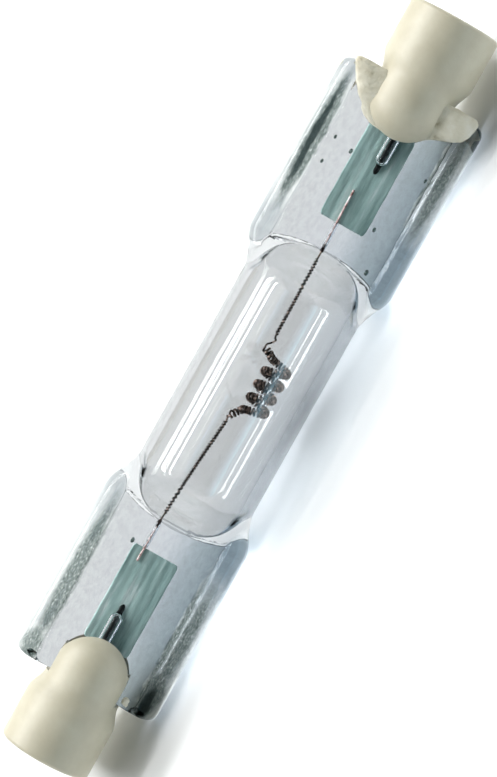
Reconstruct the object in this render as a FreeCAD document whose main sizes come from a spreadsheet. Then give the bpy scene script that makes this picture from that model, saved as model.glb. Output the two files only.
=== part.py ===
import FreeCAD, Part
import math
import os

import Sketcher
from FreeCAD import Placement, Rotation, Vector

# Linear halogen bulb: a short double-ended quartz lamp with a ceramic cap at each end.
#
# Working frame of the forms: X runs along the lamp, from the left cap to the right one,
# Y runs across the flat pinch seals, and Z is square to them, out of their front face.
# The exhaust tip, where the tube was closed after filling, stands on the back, towards -Z.
# Each finished part is then rolled about X by one angle, worked out below, so that the lamp
# lies as the real one comes to rest: on its exhaust tip and on the lower edge of both seals.
# The origin is the middle of the lamp's own axis. Lengths are in millimetres.

sizes = {
    # The whole lamp
    "overall_length": 78.3,
    "contact_distance": 74.9,
    # Quartz tube
    "tube_radius": 6.0,
    "tube_wall": 1.15,
    "tube_half": 9.7,
    # Shoulders, where the tube was pressed flat: places along X, half widths, half heights
    "brow_place": 11.3,
    "brow_wide": 6.0,
    "brow_high": 5.1,
    "slope_place": 13.3,
    "slope_wide": 5.95,
    "slope_high": 2.75,
    "foot_place": 15.3,
    "foot_wide": 4.7,
    "foot_high": 1.38,
    # The hollow inside the shoulders, which closes to a flat wedge with a rounded plan
    "hollow_slope": 12.6,
    "hollow_slope_high": 1.75,
    "hollow_end": 14.5,
    "hollow_end_high": 0.25,
    "hollow_end_wide": 2.1,
    "hollow_turn": 11.6,
    "hollow_corner": 13.5,
    "hollow_corner_wide": 3.6,
    # Pinch seals: a flat web between two thick edge ridges
    "seal_end": 31.5,
    "seal_half_width": 7.4,
    "ridge_half_thick": 2.0,
    "web_half_thick": 1.4,
    "web_half_width": 5.15,
    "ridge_slope": 0.6,
    "seal_edge_round": 1.2,
    "seal_corner": 1.0,
    "flare_start": 9.8,
    "flare_root": 5.7,
    "flare_rise": 11.2,
    "flare_rise_half": 6.25,
    "flare_end": 13.4,
    # Exhaust tip
    "tip_place": 0.4,
    "tip_angle": 8.0,
    "tip_root_radius": 2.5,
    "tip_root_depth": 5.2,
    "tip_round": 0.75,
    "tip_steps": 2,
    "tip_reach": 8.1,
    # Molybdenum foils and outer leads
    "foil_start": 17.5,
    "foil_length": 9.9,
    "foil_width": 4.75,
    "foil_thick": 0.06,
    "lead_radius": 0.43,
    "lead_start": 24.2,
    "lead_shift": 0.35,
    "lead_channel": 0.65,
    "lead_lift": 0.04,
    "weld_length": 1.15,
    "weld_width": 0.52,
    "weld_height": 0.3,
    "weld_overlap": 0.3,
    "lead_room": 0.15,
    # Filament: a coil that is coiled again
    "wire_radius": 0.1,
    "strand_radius": 0.3,
    "strand_pitch": 0.45,
    "strand_steps": 7,
    "wire_sides": 4,
    "wire_room": 0.01,
    "sleeve_sides": 8,
    "coil_mean_radius": 1.05,
    "coil_pitch": 1.374,
    "coil_turns": 4,
    "coil_start": -1.83,
    "coil_drop": 1.4,
    "strand_leg_x": 4.15,
    "strand_leg_y": 0.3,
    "turn_steps": 24,
    # Filament legs: foot on the foil, knee in the glass, head and heel at the coil
    "left_foot": -18.9,
    "left_foot_y": 1.3,
    "left_knee": -13.6,
    "left_knee_y": 1.2,
    "left_head": -3.5,
    "left_head_y": 0.46,
    "left_heel": -2.6,
    "left_heel_y": -0.05,
    "right_foot": 20.9,
    "right_foot_y": 0.55,
    "right_knee": 14.2,
    "right_knee_y": 0.4,
    "right_head": 5.6,
    "right_head_y": 0.28,
    "right_heel": 5.0,
    "right_heel_y": 0.1,
    "leg_spiral_radius": 0.19,
    "leg_spiral_gap": 0.05,
    # Ceramic caps
    "cap_radius": 4.5,
    "cap_neck_radius": 3.85,
    "cap_step": 32.9,
    "cap_step_slope": 0.55,
    "cap_rim": 0.4,
    "cap_dome_apex": 26.3,
    "cap_dome_curve": 3.94,
    "cap_dome_steps": 4,
    "cap_slot_gap": 0.25,
    "cap_bore": 1.1,
    "recess_radius": 2.6,
    "contact_seat": 36.5,
    # Contacts and cement
    "contact_radius": 2.4,
    "contact_bevel": 0.25,
    "cement_start": 28.7,
    "cement_half_width": 3.4,
    "cement_overhang": 0.45,
    "cement_over_ridge": 0.4,
    "cement_bevel": 0.3,
    "rim_start": 26.9,
    "rim_start_half": 2.5,
    "rim_shoulder": 27.8,
    "rim_shoulder_half": 3.7,
    "rim_end": 29.4,
    "rim_end_half": 4.5,
    "wing_skew": 0.3,
    "wing_root": 29.5,
    "wing_root_half": 3.4,
    "wing_neck": 29.0,
    "wing_neck_half": 4.4,
    "wing_waist": 30.5,
    "wing_waist_half": 5.4,
    "wing_end_half": 6.2,
}

SIDES = {"left": -1, "right": 1}
FRONT = Vector(0, 0, 1)
ALONG = Vector(1, 0, 0)

doc = FreeCAD.newDocument("linear_halogen_bulb")
sheet = doc.addObject("Spreadsheet::Sheet", "dims")
for row, (alias, number) in enumerate(sizes.items(), start=1):
    sheet.set(f"A{row}", alias)
    sheet.set(f"B{row}", str(number))
    sheet.setAlias(f"B{row}", alias)
doc.recompute()


def bind(item, links):
    """Ties properties of item to cells of the sheet."""
    for prop, text in links.items():
        item.setExpression(prop, text)
    return item


def number(text):
    """The value of an expression over the sheet, as a plain number."""
    value = sheet.evalExpression(text)
    return float(getattr(value, "Value", value))


def cylinder_along(name, radius, start, length, y="0", z="0"):
    """A round bar whose axis runs along +X, from start."""
    bar = doc.addObject("Part::Cylinder", name)
    bar.Placement = Placement(Vector(), Rotation(Vector(0, 1, 0), 90))
    return bind(bar, {
        "Radius": radius, "Height": length, "Placement.Base.x": start,
        "Placement.Base.y": y, "Placement.Base.z": z,
    })


def centred_box(name, start, length, width, height):
    """A box from start along X, centred on the X axis."""
    return bind(doc.addObject("Part::Box", name), {
        "Length": length, "Width": width, "Height": height,
        "Placement.Base.x": start,
        "Placement.Base.y": f"-({width}) / 2",
        "Placement.Base.z": f"-({height}) / 2",
    })


def fuse(name, *items):
    joined = doc.addObject("Part::MultiFuse", name)
    joined.Shapes = list(items)
    return joined


def cut(name, base, tool):
    left_over = doc.addObject("Part::Cut", name)
    left_over.Base, left_over.Tool = base, tool
    return left_over


def mirrored(name, source):
    """The same form at the other end of the lamp."""
    twin = doc.addObject("Part::Mirroring", name)
    twin.Source, twin.Base, twin.Normal = source, Vector(), ALONG
    return twin


def plane_of(body, role):
    return next(item for item in body.Origin.OriginFeatures if item.Role == role)


def new_sketch(body, role, name):
    sketch = body.newObject("Sketcher::SketchObject", name)
    sketch.AttachmentSupport = [(plane_of(body, role), "")]
    sketch.MapMode = "FlatFace"
    return sketch


def hold_point(sketch, edge, end, x, y):
    """Fixes one end of a sketch edge at two expressions, or on an axis where one is zero."""
    for axis, kind, text in ((-2, "DistanceX", x), (-1, "DistanceY", y)):
        if text == "0":
            sketch.addConstraint(Sketcher.Constraint("PointOnObject", edge, end, axis))
        else:
            spot = sketch.addConstraint(
                Sketcher.Constraint(kind, -1, 1, edge, end, number(text)))
            sketch.setExpression(f"Constraints[{spot}]", text)


def outline(sketch, corners):
    """Draws a closed outline through corners (x, y) or (x, y, radius, bend), as expressions.
    A corner with a radius starts an arc, which bends left or right on its way to the next."""
    first = sketch.GeometryCount
    count = len(corners)
    for i, corner in enumerate(corners):
        following = corners[(i + 1) % count]
        start = Vector(number(corner[0]), number(corner[1]), 0)
        finish = Vector(number(following[0]), number(following[1]), 0)
        if len(corner) == 2:
            sketch.addGeometry(Part.LineSegment(start, finish))
            continue
        radius, side = number(corner[2]), {"left": 1, "right": -1}[corner[3]]
        chord = finish - start
        across = Vector(-chord.y, chord.x, 0).normalize() * side
        bulge = radius - math.sqrt(radius ** 2 - chord.Length ** 2 / 4)
        sketch.addGeometry(Part.Arc(start, (start + finish) / 2 + across * bulge, finish))
    for i, corner in enumerate(corners):
        edge, before = first + i, first + (i - 1) % count
        backward = [len(corners[k]) == 4 and corners[k][3] == "left" for k in (i, i - 1)]
        start_end = 2 if backward[0] else 1
        before_end = 1 if backward[1] else 2
        sketch.addConstraint(
            Sketcher.Constraint("Coincident", edge, start_end, before, before_end))
        hold_point(sketch, edge, start_end, corner[0], corner[1])
        if len(corner) == 4:
            rule = sketch.addConstraint(Sketcher.Constraint("Radius", edge, number(corner[2])))
            sketch.setExpression(f"Constraints[{rule}]", corner[2])


def revolution_body(name, corners):
    """A turned piece: corners are its half section, over the X axis."""
    body = doc.addObject("PartDesign::Body", name)
    section = new_sketch(body, "XY_Plane", name + "_section")
    outline(section, corners)
    turned = body.newObject("PartDesign::Revolution", name + "_turned")
    turned.Profile = section
    turned.ReferenceAxis = (section, ["H_Axis"])
    turned.Angle = 360
    return body


def round_end(apex, radius, sweep, steps):
    """Corners of a rounded end in a half section, from the X axis out, as straight steps. The
    end faces -X, or +X where the radius is negative."""
    corners = [(apex, "0")]
    for i in range(1, steps + 1):
        angle = f"({sweep} * {i} / {steps})"
        corners.append(
            (f"{apex} + {radius} * (1 - cos({angle}))", f"abs({radius}) * sin({angle})"))
    return corners


# Quartz: the tube and its shoulders, then the seals


def oval(name, place, half_width, half_height):
    """An upright oval across the lamp, at a place along X."""
    curve = doc.addObject("Part::Ellipse", name)
    curve.Placement = Placement(Vector(), Rotation(Vector(1, 1, 1), 120))
    return bind(curve, {
        "MajorRadius": half_width, "MinorRadius": half_height, "Placement.Base.x": place})


def tube_form():
    """The round tube, whose ends flatten towards the seals through an oval at each place."""
    curves = [oval("tube_end", "dims.tube_half", "dims.tube_radius", "dims.tube_radius")]
    for place in ("brow", "slope", "foot"):
        curves.append(oval(
            f"tube_{place}", f"dims.{place}_place", f"dims.{place}_wide", f"dims.{place}_high"))
    shoulder = doc.addObject("Part::Loft", "shoulder_right")
    shoulder.Sections, shoulder.Solid, shoulder.Ruled = curves, True, True
    straight = cylinder_along(
        "tube_straight", "dims.tube_radius", "-dims.tube_half", "2 * dims.tube_half")
    return fuse("tube_form", straight, shoulder, mirrored("shoulder_left", shoulder))


def hollow_form():
    """The room inside the tube: a round bore, pressed to a wedge that is rounded in plan."""
    radius = "dims.tube_radius - dims.tube_wall"
    bore = cylinder_along(
        "hollow_bore", radius, "-dims.hollow_end", "2 * dims.hollow_end")
    quarters = {
        "XZ_Plane": [("dims.hollow_end", "dims.hollow_end_high"),
                     ("dims.hollow_slope", "dims.hollow_slope_high"), ("dims.tube_half", radius)],
        "XY_Plane": [("dims.hollow_end", "dims.hollow_end_wide"),
                     ("dims.hollow_corner", "dims.hollow_corner_wide"),
                     ("dims.hollow_turn", radius)],
    }
    blocks = []
    for role, quarter in quarters.items():
        name = "hollow_" + {"XZ_Plane": "side", "XY_Plane": "plan"}[role]
        body = doc.addObject("PartDesign::Body", name)
        drawn = new_sketch(body, role, name + "_outline")
        half = quarter + [(f"-{x}", y) for x, y in quarter[::-1]]
        outline(drawn, half + [(x, f"-({y})") for x, y in half[::-1]])
        block = body.newObject("PartDesign::Pad", name + "_block")
        block.Profile, block.Midplane = drawn, True
        block.setExpression("Length", "4 * dims.tube_radius")
        blocks.append(body)
    pressed = doc.addObject("Part::MultiCommon", "hollow_form")
    pressed.Shapes = [bore] + blocks
    return pressed


def seal_form(name):
    """Right-hand pinch seal: a rounded plate with a wide shallow channel in both faces."""
    body = doc.addObject("PartDesign::Body", name)
    plan = new_sketch(body, "XY_Plane", name + "_plan")
    edge_x = "dims.seal_end - dims.seal_corner"
    edge_y = "dims.seal_half_width - dims.seal_corner"
    upper = [
        ("dims.flare_start", "dims.flare_root"),
        ("dims.flare_rise", "dims.flare_rise_half"),
        ("dims.flare_end", "dims.seal_half_width"),
        (edge_x, "dims.seal_half_width"),
        ("dims.seal_end", edge_y),
    ]
    outline(plan, upper + [(x, f"-({y})") for x, y in upper[::-1]])
    plate = body.newObject("PartDesign::Pad", name + "_plate")
    plate.Profile, plate.Midplane = plan, True
    plate.setExpression("Length", "2 * dims.ridge_half_thick")
    doc.recompute()
    face_edges = [
        f"Edge{i}" for i, edge in enumerate(plate.Shape.Edges, start=1)
        if abs(abs(edge.CenterOfMass.z) - sizes["ridge_half_thick"]) < 0.01
        and edge.CenterOfMass.x > sizes["flare_start"] + 0.01
    ]
    rounded = body.newObject("PartDesign::Fillet", name + "_rounded")
    rounded.Base = (plate, face_edges)
    rounded.setExpression("Radius", "dims.seal_edge_round")
    channels = new_sketch(body, "YZ_Plane", name + "_channels")
    for sign in ("", "-"):
        foot, brow = f"{sign}dims.web_half_thick", f"{sign}(2 * dims.ridge_half_thick)"
        reach = ("dims.web_half_width + dims.ridge_slope * (2 * dims.ridge_half_thick"
                 " - dims.web_half_thick) / (dims.ridge_half_thick - dims.web_half_thick)")
        outline(channels, [
            ("-dims.web_half_width", foot), ("dims.web_half_width", foot),
            (reach, brow), (f"-({reach})", brow),
        ])
    webbed = body.newObject("PartDesign::Pocket", name + "_web")
    webbed.Profile, webbed.Midplane = channels, True
    webbed.setExpression("Length", "4 * dims.seal_end")
    return body


def tip_form():
    """Exhaust tip: a blunt cone on the back of the tube, turned about its own radius."""
    nose = round_end("dims.tip_reach", "-dims.tip_round", "90 deg", sizes["tip_steps"])
    tip = revolution_body("exhaust_tip_form", [
        ("dims.tip_root_depth", "0"),
        ("dims.tip_root_depth", "dims.tip_root_radius"),
    ] + nose[::-1])
    tip.Placement = Placement(
        Vector(sizes["tip_place"], 0, 0),
        Rotation(ALONG, -sizes["tip_angle"]) * Rotation(Vector(0, 1, 0), 90))
    tip.setExpression("Placement.Base.x", "dims.tip_place")
    return tip


# Filament legs, from the foil to the coil, in the working frame


def leg_point(side, place):
    height = 0
    if place in ("foot", "knee"):
        height = sizes["foil_thick"] / 2 + sizes["wire_radius"]
    return Vector(sizes[f"{side}_{place}"], sizes[f"{side}_{place}_y"], height)


def leg_points(side):
    """Corners of one leg's line, which bears on the foil's front face at its outer end."""
    return [leg_point(side, place) for place in ("foot", "knee", "head")]


def part_of_run(points, first_x):
    """The same line, but starting where it passes first_x on its first run."""
    start, knee = points[0], points[1]
    share = (first_x - start.x) / (knee.x - start.x)
    return [start + (knee - start) * share] + points[1:]


def sleeve_points(side):
    """The leg's line from just short of the foil to the coil."""
    return part_of_run(
        leg_points(side), SIDES[side] * (sizes["foil_start"] - sizes["leg_spiral_gap"]))


def coil_point(turns):
    """A point on the line that the coil follows, some turns from its left end."""
    angle = 2 * math.pi * turns
    return Vector(
        sizes["coil_start"] + sizes["coil_pitch"] * turns,
        sizes["coil_mean_radius"] * math.cos(angle) - sizes["coil_drop"],
        sizes["coil_mean_radius"] * math.sin(angle))


def even_steps(line, step):
    """Points along a line of straight runs, evenly spaced by about step."""
    lengths = [(b - a).Length for a, b in zip(line, line[1:])]
    total = sum(lengths)
    count = max(2, round(total / step))
    points, run, passed = [], 0, 0.0
    for i in range(count + 1):
        place = total * i / count
        while run < len(lengths) - 1 and place > passed + lengths[run]:
            passed += lengths[run]
            run += 1
        points.append(line[run] + (line[run + 1] - line[run]) * ((place - passed) / lengths[run]))
    return points


def carried_frames(points):
    """Direction and two square axes at each point, carried along the line without twist."""
    frames = []
    normal = FRONT
    for i, point in enumerate(points):
        ahead = points[min(i + 1, len(points) - 1)] - points[max(i - 1, 0)]
        ahead.normalize()
        normal = (normal - ahead * normal.dot(ahead)).normalize()
        frames.append((point, normal, ahead.cross(normal)))
    return frames


def ring(frame, radius, angle):
    point, normal, side = frame
    return point + normal * (radius * math.cos(angle)) + side * (radius * math.sin(angle))


def wound(line, radius, pitch, steps):
    """Corners of a wire wound round a line, with so many steps to each turn."""
    frames = carried_frames(even_steps(line, pitch / steps))
    return [ring(frame, radius, 2 * math.pi * i / steps) for i, frame in enumerate(frames)]


def wire_solid(points, radius, sides):
    """A wire of flat faces along points: a ring of corners at each, joined to the next."""
    frames = carried_frames(points)
    turn = 2 * math.pi / sides
    corners = [ring(frame, radius, turn * k) for frame in frames for k in range(sides)]
    facets = []
    for i in range(len(points) - 1):
        for k in range(sides):
            a, b = i * sides + k, i * sides + (k + 1) % sides
            facets += [(a, b, b + sides), (a, b + sides, a + sides)]
    last = (len(points) - 1) * sides
    for k in range(1, sides - 1):
        facets += [(0, k + 1, k), (last, last + k, last + k + 1)]
    skin = Part.Shape()
    skin.makeShapeFromMesh((corners, facets), 0.0001)
    solid = Part.Solid(Part.Shell(skin.Faces))
    return solid if solid.Volume > 0 else solid.reversed()


def filament_shape():
    """One tungsten wire: two straight legs, and between them a strand that is wound like a
    spring and then laid in four larger turns."""
    turns, steps = sizes["coil_turns"], sizes["turn_steps"]
    strand = [coil_point(i / steps) for i in range(turns * steps + 1)]
    strand.append(Vector(sizes["strand_leg_x"], sizes["strand_leg_y"], 0))
    coil = wound(strand, sizes["strand_radius"], sizes["strand_pitch"], sizes["strand_steps"])
    left = leg_points("left") + [leg_point("left", "heel")]
    right = [leg_point("right", "heel")] + leg_points("right")[::-1]
    return wire_solid(left + coil + right, sizes["wire_radius"], sizes["wire_sides"])


def plain_feature(name, shape):
    item = doc.addObject("Part::Feature", name)
    item.Shape = shape
    return item


filament_form = plain_feature("filament_form", filament_shape())
sleeve_forms, sleeve_pockets, foil_forms, lead_forms, lead_channels = {}, {}, {}, {}, {}
for side, sign in SIDES.items():
    sleeve = wire_solid(sleeve_points(side), sizes["leg_spiral_radius"], sizes["sleeve_sides"])
    room = wire_solid(
        leg_points(side), sizes["wire_radius"] + sizes["wire_room"], sizes["sleeve_sides"])
    sleeve_pockets[side] = plain_feature(f"leg_spiral_{side}_pocket", sleeve.fuse(room))
    sleeve_forms[side] = plain_feature(f"leg_spiral_{side}_form", sleeve.cut(room))

    start = "dims.foil_start" if sign > 0 else "-dims.foil_start - dims.foil_length"
    foil_forms[side] = centred_box(
        f"foil_{side}_form", start, "dims.foil_length", "dims.foil_width", "dims.foil_thick")

    lead_y = f"{-sign} * dims.lead_shift"
    lead_z = "dims.foil_thick / 2 + dims.lead_radius + dims.lead_lift"
    lead_length = "dims.contact_seat - dims.lead_start"
    rod_start = "dims.lead_start" if sign > 0 else "-dims.contact_seat"
    rod = cylinder_along(
        f"outer_lead_{side}_rod", "dims.lead_radius", rod_start, lead_length, lead_y, lead_z)
    weld_start = (
        "dims.lead_start - dims.weld_length" if sign > 0
        else "-dims.lead_start - dims.weld_overlap")
    weld = centred_box(
        f"outer_lead_{side}_weld", weld_start, "dims.weld_length + dims.weld_overlap",
        "dims.weld_width", "dims.weld_height")
    bind(weld, {
        "Placement.Base.y": f"{lead_y} - dims.weld_width / 2",
        "Placement.Base.z": "dims.foil_thick / 2",
    })
    lead_forms[side] = fuse(f"outer_lead_{side}_form", rod, weld)
    channel_end = "(dims.seal_end + dims.seal_corner)"
    lead_channels[side] = cylinder_along(
        f"outer_lead_{side}_channel", "dims.lead_channel",
        "dims.lead_start - dims.lead_room" if sign > 0 else f"-{channel_end}",
        f"{channel_end} - dims.lead_start + dims.lead_room", lead_y, lead_z)

# Quartz bulb: one blown and pressed piece
seal_right = seal_form("seal_right_form")
seal_left = mirrored("seal_left_form", seal_right)
glass_outside = fuse("glass_outside", tube_form(), seal_right, seal_left, tip_form())
pockets = fuse(
    "glass_pockets", hollow_form(),
    *(group[side] for side in SIDES
      for group in (sleeve_pockets, foil_forms, lead_forms, lead_channels)))
glass_form = cut("quartz_bulb_form", glass_outside, pockets)

# Ceramic caps and the contact in each recess
slot_half = "dims.web_half_thick + dims.cap_slot_gap"
cap_end = "dims.overall_length / 2"
contact_face = "dims.contact_distance / 2"
slot_floor = "dims.seal_end + dims.cap_slot_gap"
dome_sweep = "asin(dims.cap_neck_radius / dims.cap_dome_curve)"
dome = round_end(
    "dims.cap_dome_apex", "dims.cap_dome_curve", dome_sweep, sizes["cap_dome_steps"])
cap_right = revolution_body("cap_right_form", dome + [
    ("dims.cap_step", "dims.cap_neck_radius"),
    ("dims.cap_step + dims.cap_step_slope", "dims.cap_radius"),
    (f"{cap_end} - dims.cap_rim", "dims.cap_radius"),
    (cap_end, "dims.cap_radius - dims.cap_rim"),
    (cap_end, "dims.recess_radius"),
    (contact_face, "dims.recess_radius"),
    (contact_face, "dims.contact_radius"),
    ("dims.contact_seat", "dims.contact_radius"),
    ("dims.contact_seat", "dims.cap_bore"),
    ("dims.seal_end", "dims.cap_bore"),
    ("dims.seal_end", "0"),
])
slot_plan = new_sketch(cap_right, "XZ_Plane", "cap_slot_plan")
outline(slot_plan, [
    ("dims.cap_dome_apex - 1", f"-({slot_half})"), (slot_floor, f"-({slot_half})"),
    (slot_floor, slot_half), ("dims.cap_dome_apex - 1", slot_half),
])
slot = cap_right.newObject("PartDesign::Pocket", "cap_slot")
slot.Profile, slot.Midplane = slot_plan, True
slot.setExpression("Length", "4 * dims.cap_radius")
cap_left = mirrored("cap_left_form", cap_right)

contact_right = revolution_body("contact_right_form", [
    ("dims.contact_seat", "0"),
    ("dims.contact_seat", "dims.contact_radius"),
    (f"{contact_face} - dims.contact_bevel", "dims.contact_radius"),
    (contact_face, "dims.contact_radius - dims.contact_bevel"),
    (contact_face, "0"),
])
contact_left = mirrored("contact_left_form", contact_right)


# Cement: it beds each seal in its slot, and on the right it was spread out to both corners


def cement_form(side):
    sign = SIDES[side]
    start = "dims.cement_start" if sign > 0 else f"-({slot_floor})"
    bed = centred_box(
        f"cement_{side}_bed", start, f"{slot_floor} - dims.cement_start",
        "2 * dims.cement_half_width", f"2 * ({slot_half})")
    if side == "left":
        return bed
    rim_body = doc.addObject("PartDesign::Body", "cement_rim")
    rim_plan = new_sketch(rim_body, "XY_Plane", "cement_rim_plan")
    rim = [(f"dims.rim_{place}", f"dims.rim_{place}_half") for place in ("start", "shoulder", "end")]
    outline(rim_plan, rim + [(x, f"-({y})") for x, y in rim[::-1]])
    rim_plate = rim_body.newObject("PartDesign::Pad", "cement_rim_plate")
    rim_plate.Profile, rim_plate.Midplane = rim_plan, True
    rim_plate.setExpression("Length", f"2 * ({slot_half})")
    body = doc.addObject("PartDesign::Body", "cement_wings")
    plan = new_sketch(body, "XY_Plane", "cement_wings_plan")
    corners = [(f"dims.wing_{place}", f"dims.wing_{place}_half")
               for place in ("root", "neck", "waist")]
    corners.append(("dims.seal_end + dims.cement_overhang", "dims.wing_end_half"))
    outline(plan, [(x, f"dims.wing_skew + {y}") for x, y in corners]
            + [(x, f"dims.wing_skew - {y}") for x, y in corners[::-1]])
    wings = body.newObject("PartDesign::Pad", "cement_wings_spread")
    wings.Profile, wings.Midplane = plan, True
    wings.setExpression("Length", "2 * (dims.ridge_half_thick + dims.cement_over_ridge)")
    doc.recompute()
    high = sizes["ridge_half_thick"] + sizes["cement_over_ridge"]
    bevelled = body.newObject("PartDesign::Chamfer", "cement_wings_softened")
    bevelled.Base = (wings, [
        f"Edge{i}" for i, edge in enumerate(wings.Shape.Edges, start=1)
        if abs(abs(edge.CenterOfMass.z) - high) < 0.01])
    bevelled.setExpression("Size", "dims.cement_bevel")
    return fuse("cement_right_whole", bed, rim_body, body)


def cement_piece(side, cap):
    taken = fuse(f"cement_{side}_taken", glass_outside, cap, lead_forms[side], lead_channels[side])
    return cut(f"cement_{side}_form", cement_form(side), taken)


# Rest: the lamp lies on the tip and on the lower back edge of both seals, so the roll is the
# slope of the line that touches both of their rounded outlines from below.


def rest_roll():
    """Angle about X, in degrees, that sets the line under tip and seal edge level."""
    tip_angle = math.radians(sizes["tip_angle"])
    tip_centre = sizes["tip_reach"] - sizes["tip_round"]
    tip = (-tip_centre * math.sin(tip_angle), -tip_centre * math.cos(tip_angle))
    edge = (sizes["seal_edge_round"] - sizes["seal_half_width"],
            sizes["seal_edge_round"] - sizes["ridge_half_thick"])
    run, rise = tip[0] - edge[0], tip[1] - edge[1]
    lean = math.asin((sizes["seal_edge_round"] - sizes["tip_round"]) / math.hypot(run, rise))
    return math.degrees(-math.atan2(rise, run) - lean)


doc.recompute()
cement_right = cement_piece("right", cap_right)
cement_left = cement_piece("left", cap_left)
roll = rest_roll()

finished = {
    "quartz_bulb": glass_form,
    "filament": filament_form,
    "leg_spiral_left": sleeve_forms["left"],
    "leg_spiral_right": sleeve_forms["right"],
    "foil_left": foil_forms["left"],
    "foil_right": foil_forms["right"],
    "outer_lead_left": lead_forms["left"],
    "outer_lead_right": lead_forms["right"],
    "ceramic_cap_left": cap_left,
    "ceramic_cap_right": cap_right,
    "cement_left": cement_left,
    "cement_right": cement_right,
    "contact_left": contact_left,
    "contact_right": contact_right,
}
parts = []
for label, form in finished.items():
    part = doc.addObject("Part::Refine", label)
    part.Source = form
    part.Label = label
    part.Placement = Placement(Vector(), Rotation(ALONG, roll))
    parts.append(part)
doc.recompute()

for item in doc.Objects:
    if "Invalid" in item.State or "Error" in item.State:
        raise RuntimeError(f"{item.Name} did not build: {item.State}")
for part in parts:
    if part.Shape.isNull() or not part.Shape.isValid() or len(part.Shape.Solids) != 1:
        raise RuntimeError(f"{part.Label} is not one valid solid: {len(part.Shape.Solids)}")

os.makedirs("parts", exist_ok=True)
for part in parts:
    part.Shape.exportStep(f"parts/{part.Label}.step")
    print(part.Label, "volume", round(part.Shape.Volume, 3), "mm3")
print("rest roll", round(roll, 2), "degrees")
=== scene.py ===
import math

import bpy
import numpy as np
from mathutils import Matrix, Vector, noise

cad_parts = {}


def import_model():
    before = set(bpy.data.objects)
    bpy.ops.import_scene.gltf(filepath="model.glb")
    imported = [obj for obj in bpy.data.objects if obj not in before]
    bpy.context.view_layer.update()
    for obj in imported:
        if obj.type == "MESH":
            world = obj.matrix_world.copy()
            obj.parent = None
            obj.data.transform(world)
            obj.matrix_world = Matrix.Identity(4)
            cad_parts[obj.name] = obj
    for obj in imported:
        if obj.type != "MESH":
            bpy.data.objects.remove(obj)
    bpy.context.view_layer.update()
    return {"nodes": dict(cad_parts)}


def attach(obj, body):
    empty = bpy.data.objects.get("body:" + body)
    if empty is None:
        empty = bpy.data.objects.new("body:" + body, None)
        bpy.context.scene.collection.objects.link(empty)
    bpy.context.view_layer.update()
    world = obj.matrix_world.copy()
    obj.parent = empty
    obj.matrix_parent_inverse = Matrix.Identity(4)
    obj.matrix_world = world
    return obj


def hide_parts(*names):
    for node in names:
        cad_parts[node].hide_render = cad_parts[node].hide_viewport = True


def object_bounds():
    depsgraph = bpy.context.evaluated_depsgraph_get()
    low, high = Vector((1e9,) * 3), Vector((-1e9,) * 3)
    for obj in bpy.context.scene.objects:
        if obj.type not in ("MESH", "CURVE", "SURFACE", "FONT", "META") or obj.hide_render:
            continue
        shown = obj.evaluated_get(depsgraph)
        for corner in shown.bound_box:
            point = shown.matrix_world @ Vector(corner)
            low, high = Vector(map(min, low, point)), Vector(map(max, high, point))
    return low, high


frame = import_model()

# Linear halogen bulb, lying on its exhaust tip and on the lower edge of both pinch seals.
#
# The pieces are shaped in the lamp's own axes, in millimetres: X along the lamp, Y across the
# flat seals and Z out of their front face. The frame's foils give those axes in the row frame.

MM = 0.001
BODY = "root"
SIDES = (("left", -1), ("right", 1))

# Without a seed, noise vectors differ from run to run.
SEED = 1
noise.seed_set(SEED)


def seal_front():
    """The way the seals' front face looks, read from the widest face of a foil."""
    faces = frame["nodes"]["foil_right"].data.polygons
    normal = max(faces, key=lambda face: face.area).normal.copy()
    return normal if normal.z > 0 else -normal


FRONT = seal_front()
ALONG = Vector((1, 0, 0))
ACROSS = FRONT.cross(ALONG)
LAMP = Matrix((ALONG, ACROSS, FRONT)).transposed()


def node_span(node):
    """Lowest and highest corner of a node in the lamp's own axes, in millimetres."""
    points = np.array([vertex.co for vertex in frame["nodes"][node].data.vertices])
    local = points @ np.array(LAMP) / MM
    return local.min(axis=0), local.max(axis=0)


def world(points):
    """Points of the lamp's own axes, in millimetres, as metres in the row frame."""
    return np.asarray(points, float) @ np.array(LAMP).T * MM


# Meshes


def new_object(name, data):
    """A new object in the scene."""
    made = bpy.data.objects.new(name, data)
    bpy.context.scene.collection.objects.link(made)
    return made


def lamp_mesh(name, points, faces):
    """A mesh from points in the lamp's axes."""
    mesh = bpy.data.meshes.new(name)
    mesh.from_pydata(world(points).tolist(), [], [tuple(map(int, face)) for face in faces])
    return mesh


def shade_smooth(mesh):
    mesh.polygons.foreach_set("use_smooth", [True] * len(mesh.polygons))


def new_piece(name, shape, materials, nodes=(), which=None):
    """A piece from points and faces in the lamp's axes. which gives the number of each face's
    material, and nodes are what the piece stands for."""
    mesh = lamp_mesh(name, *shape)
    mesh.update()
    shade_smooth(mesh)
    for material in materials:
        mesh.materials.append(material)
    if which is not None:
        mesh.polygons.foreach_set("material_index", [int(number) for number in which])
    piece = new_object(name, mesh)
    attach(piece, BODY)
    if nodes:
        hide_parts(*nodes)
    return piece


def full_turn(count):
    """Angles evenly round a full turn."""
    return np.linspace(0, 2 * math.pi, count, endpoint=False)


def ring_at(x, y, z):
    """A ring square to the lamp, from the places of its points."""
    return np.stack((np.full(len(y), x), y, z), axis=1)


def flipped(faces):
    """The same faces, looking the other way."""
    return [face[::-1] for face in faces]


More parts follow.
